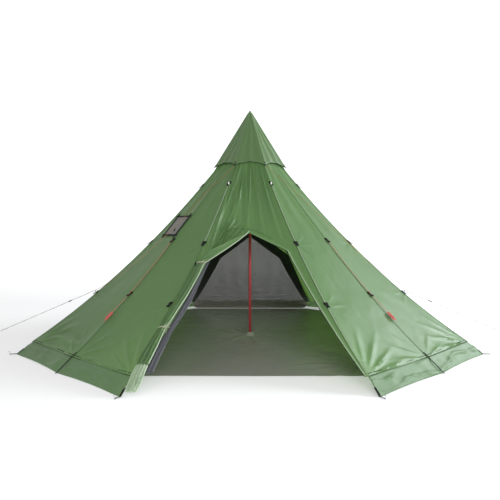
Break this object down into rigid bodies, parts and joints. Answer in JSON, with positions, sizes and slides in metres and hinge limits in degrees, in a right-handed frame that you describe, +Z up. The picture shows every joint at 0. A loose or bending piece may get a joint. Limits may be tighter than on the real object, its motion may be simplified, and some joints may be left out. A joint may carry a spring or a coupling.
{
  "type": "teepee tent",
  "caption": "Eight-sided teepee tent on one telescopic centre pole, with a rain cap, a gathered front door, a rear mesh door, a ground skirt, a groundsheet and guy lines.",
  "frame": {"origin": "centre of the octagon on the ground, under the pole", "axes": "+Z up along the pole; the front door faces -Y; +X is to the right of a person who looks in at the door"},
  "size_m": [5.672, 4.5264, 2.5],
  "materials": {
    "fly_fabric": "satin",
    "cap_fabric": "satin",
    "skirt_fabric": "satin",
    "door_fabric": "satin",
    "mesh_fabric": "matte",
    "sheet_fabric": "satin",
    "patch_fabric": "matte",
    "webbing": "matte",
    "tie_webbing": "matte",
    "cup_fabric": "matte",
    "pole_anodised": "satin",
    "lock_plastic": "satin",
    "foot_rubber": "matte",
    "cord_orange": "matte",
    "cord_pale": "matte",
    "cord_red": "matte",
    "peg_alloy": "satin",
    "slider_metal": "gloss"
  },
  "bodies": {
    "tent": {"fly_front": "fly_fabric", "fly_front_right": "fly_fabric", "fly_right": "fly_fabric", "fly_rear_right": "fly_fabric", "fly_rear": "fly_fabric", "fly_rear_left": "fly_fabric", "fly_left": "fly_fabric", "fly_front_left": "fly_fabric", "skirt_front_right": "skirt_fabric", "skirt_right": "skirt_fabric", "skirt_rear_right": "skirt_fabric", "skirt_rear": "skirt_fabric", "skirt_rear_left": "skirt_fabric", "skirt_left": "skirt_fabric", "skirt_front_left": "skirt_fabric", "skirt_door_gather": "door_fabric", "rain_cap": "cap_fabric", "pole_lower": "pole_anodised", "pole_collar": "lock_plastic", "pole_foot": "foot_rubber", "apex_cup": "webbing", "pole_base_cup": "cup_fabric", "groundsheet": "sheet_fabric", "door_flap": "door_fabric", "door_mesh": "mesh_fabric", "door_tie_upper": "tie_webbing", "door_tie_lower": "tie_webbing", "rear_mesh_screen": "mesh_fabric", "rear_door_roll": "door_fabric", "stove_jack_patch": "patch_fabric", "stove_jack_frame": "webbing", "cap_cord_left": "cord_orange", "cap_stay_left": "cord_pale", "panel_cord_left": "cord_red", "cord_hank_left": "cord_red", "guyline_left": "cord_pale", "guy_peg_left": "peg_alloy", "guy_tab_left": "webbing", "cap_cord_right": "cord_orange", "cap_stay_right": "cord_pale", "panel_cord_right": "cord_red", "cord_hank_right": "cord_red", "guyline_right": "cord_pale", "guy_peg_right": "peg_alloy", "guy_tab_right": "webbing", "corner_peg_front_right": "peg_alloy", "corner_peg_right_front": "peg_alloy", "corner_peg_right_rear": "peg_alloy", "corner_peg_rear_right": "peg_alloy", "corner_peg_rear_left": "peg_alloy", "corner_peg_left_rear": "peg_alloy", "corner_peg_left_front": "peg_alloy", "corner_peg_front_left": "peg_alloy"},
    "pole_upper_body": {"pole_upper": "pole_anodised", "pole_tip": "lock_plastic"},
    "pole_lever_body": {"pole_lever": "lock_plastic"},
    "door_zip_body": {"door_zip_slider": "slider_metal"},
    "rear_zip_body": {"rear_zip_slider": "slider_metal"},
    "tensioner_left_body": {"guy_tensioner_left": "lock_plastic"},
    "tensioner_right_body": {"guy_tensioner_right": "lock_plastic"}
  },
  "joints": [
    {"name": "pole_telescope", "type": "slide", "parent": "tent", "child": "pole_upper_body", "axis": [0, 0, -1], "range_m": [0, 1.04]},
    {"name": "pole_lever_hinge", "type": "hinge", "parent": "tent", "child": "pole_lever_body", "pos_m": [0.029, 0, 1.286], "axis": [0, 0, -1], "range_deg": [0, 120]},
    {"name": "door_zip_slide", "type": "slide", "parent": "tent", "child": "door_zip_body", "axis": [-0.3476, 0.6993, 0.6246], "range_m": [0, 1.24]},
    {"name": "rear_zip_slide", "type": "slide", "parent": "tent", "child": "rear_zip_body", "axis": [-0.3725, -0.7038, 0.605], "range_m": [0, 0.97]},
    {"name": "tensioner_left_slide", "type": "slide", "parent": "tent", "child": "tensioner_left_body", "axis": [-0.8564, -0.3548, -0.375], "range_m": [-0.2, 1.1]},
    {"name": "tensioner_right_slide", "type": "slide", "parent": "tent", "child": "tensioner_right_body", "axis": [0.8564, -0.3548, -0.375], "range_m": [-0.2, 1.1]}
  ]
}
